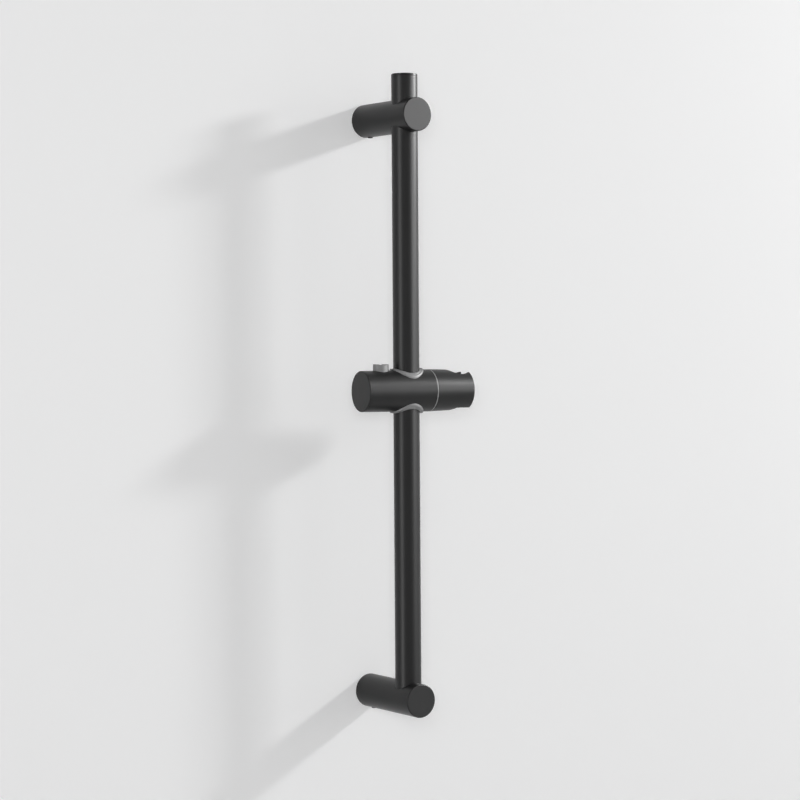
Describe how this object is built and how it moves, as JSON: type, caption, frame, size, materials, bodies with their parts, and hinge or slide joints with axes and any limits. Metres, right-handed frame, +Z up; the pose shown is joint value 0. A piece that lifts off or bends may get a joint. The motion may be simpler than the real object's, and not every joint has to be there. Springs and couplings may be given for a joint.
{
  "type": "shower slide rail",
  "caption": "Matte black shower slide rail: a round tube on wall posts, with a push-button slider and a tilting open-sided holder for a hand shower.",
  "frame": {"origin": "midway between the two wall screw holes, on the wall plane", "axes": "+Z up along the rail, +Y into the wall, +X to the right seen from the room"},
  "size_m": [0.1166, 0.0925, 0.6113],
  "materials": {
    "black_coat": "matte black coat on metal",
    "black_body": "matte black coat on moulded plastic",
    "grey_plastic": "satin mid-grey moulded plastic",
    "glide_plastic": "natural acetal",
    "brake_rubber": "moulded rubber",
    "boss_brass": "turned brass",
    "screw_steel": "plain stainless steel"
  },
  "bodies": {
    "rail_assembly": {"rail_tube": "black_coat", "rail_top_cap": "black_coat", "upper_post": "black_coat", "lower_post": "black_coat", "upper_wall_boss": "boss_brass", "lower_wall_boss": "boss_brass", "upper_boss_grub_screw": "screw_steel", "lower_boss_grub_screw": "screw_steel", "upper_rail_screw": "screw_steel", "lower_rail_screw": "screw_steel"},
    "carriage": {"upper_glide_ring": "glide_plastic", "lower_glide_ring": "glide_plastic"},
    "slider": {"slider_barrel": "black_body", "slider_end_cap": "black_body", "upper_guide_bush": "grey_plastic", "lower_guide_bush": "grey_plastic", "friction_ring": "grey_plastic", "disc_spring": "screw_steel", "brake_spring": "screw_steel"},
    "button": {"release_button": "grey_plastic"},
    "shoe": {"brake_shoe": "glide_plastic", "brake_pad": "brake_rubber"},
    "holder": {"handset_holder": "black_body", "pivot_screw": "screw_steel"}
  },
  "joints": [
    {"name": "slider_slide", "type": "slide", "parent": "rail_assembly", "child": "carriage", "axis": [0, 0, 1], "range_m": [-0.256, 0.2175]},
    {"name": "slider_swivel", "type": "hinge", "parent": "carriage", "child": "slider", "pos_m": [0, -0.068, 0.0165], "axis": [0, 0, 1], "continuous": true},
    {"name": "holder_tilt", "type": "hinge", "parent": "slider", "child": "holder", "pos_m": [0, -0.068, 0.0165], "axis": [0.9962, -0.0872, 0], "continuous": true},
    {"name": "button_press", "type": "slide", "parent": "slider", "child": "button", "axis": [0, 0, -1], "range_m": [0, 0.004], "stiffness_N_per_m": 1500, "springref_m": -0.002},
    {"name": "shoe_release", "type": "slide", "parent": "slider", "child": "shoe", "axis": [-0.9962, 0.0872, 0], "range_m": [0, 0.0012], "deforming": ["brake_spring"]}
  ],
  "couplings": [
    {"joint": "shoe_release", "follows": "button_press", "ratio": 0.3}
  ]
}
